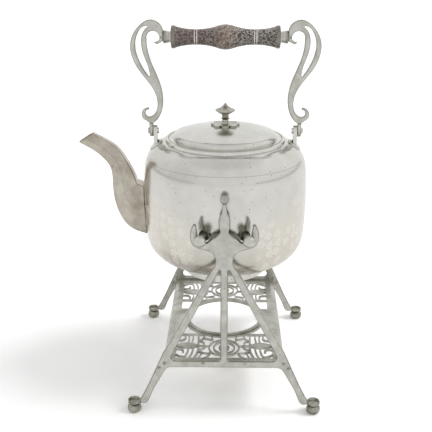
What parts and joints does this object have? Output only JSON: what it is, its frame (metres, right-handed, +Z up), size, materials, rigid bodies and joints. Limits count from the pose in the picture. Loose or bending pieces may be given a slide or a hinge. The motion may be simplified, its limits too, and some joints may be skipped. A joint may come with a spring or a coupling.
{
  "type": "spirit kettle on stand",
  "caption": "Round tea kettle with hinged lid, swing handle and swan-neck spout, hung by trunnion pins in a footed stand with a pierced platform for a spirit burner.",
  "frame": {"origin": "middle of the footprint box, on the table: the bottom centre of the whole object's box", "axes": "+Z up; -X the way the spout points; -Y the front stand frame, +Y the back one"},
  "size_m": [0.2196, 0.1912, 0.3342],
  "materials": {
    "silver_plate": "worn silver plate",
    "cast_nickel_silver": "cast and hand finished, dull plate",
    "pierced_sheet": "sawn sheet, dull plate",
    "dark_wood": "turned, waxed",
    "pale_inlay": "let-in wire",
    "steel_wire": "drawn"
  },
  "bodies": {
    "stand": {"frame_front": "cast_nickel_silver", "frame_back": "cast_nickel_silver", "finial_front": "cast_nickel_silver", "finial_back": "cast_nickel_silver", "platform_plate": "pierced_sheet", "pierced_panel_front": "pierced_sheet", "pierced_panel_back": "pierced_sheet", "burner_ring": "pierced_sheet", "side_skirt_left": "pierced_sheet", "side_skirt_right": "pierced_sheet", "stand_rivets": "steel_wire", "foot_front_left": "cast_nickel_silver", "foot_front_right": "cast_nickel_silver", "foot_back_left": "cast_nickel_silver", "foot_back_right": "cast_nickel_silver"},
    "kettle": {"kettle_body": "silver_plate", "kettle_bottom": "silver_plate", "kettle_shoulder": "silver_plate", "foot_ring": "silver_plate", "spout": "silver_plate", "neck_rim": "silver_plate", "hinge_ears": "silver_plate", "hinge_pin": "steel_wire", "handle_lug_left": "silver_plate", "handle_lug_right": "silver_plate", "handle_rivet_left": "silver_plate", "handle_rivet_right": "silver_plate", "trunnion_front_left": "silver_plate", "trunnion_front_right": "silver_plate", "trunnion_back_left": "silver_plate", "trunnion_back_right": "silver_plate"},
    "lid": {"lid_shell": "silver_plate", "lid_bezel": "silver_plate", "lid_knuckle": "silver_plate", "knob_rosette": "silver_plate", "knob_stem": "silver_plate", "knob_cap": "silver_plate", "knob_nut": "steel_wire"},
    "handle": {"handle_upright_left": "cast_nickel_silver", "handle_upright_right": "cast_nickel_silver", "grip_collar_left": "cast_nickel_silver", "grip_collar_right": "cast_nickel_silver", "grip": "dark_wood", "grip_bands": "pale_inlay", "grip_rod": "steel_wire"}
  },
  "joints": [
    {"name": "kettle_tilt", "type": "hinge", "parent": "stand", "child": "kettle", "pos_m": [0.00465, 0, 0.165], "axis": [0, -1, 0], "range_deg": [0, 40]},
    {"name": "lid_hinge", "type": "hinge", "parent": "kettle", "child": "lid", "pos_m": [0.02325, 0.0574, 0.23035], "axis": [-1, 0, 0], "range_deg": [0, 47]},
    {"name": "handle_swing", "type": "hinge", "parent": "kettle", "child": "handle", "pos_m": [0.02325, 0, 0.237], "axis": [1, 0, 0], "range_deg": [-95, 95]}
  ]
}
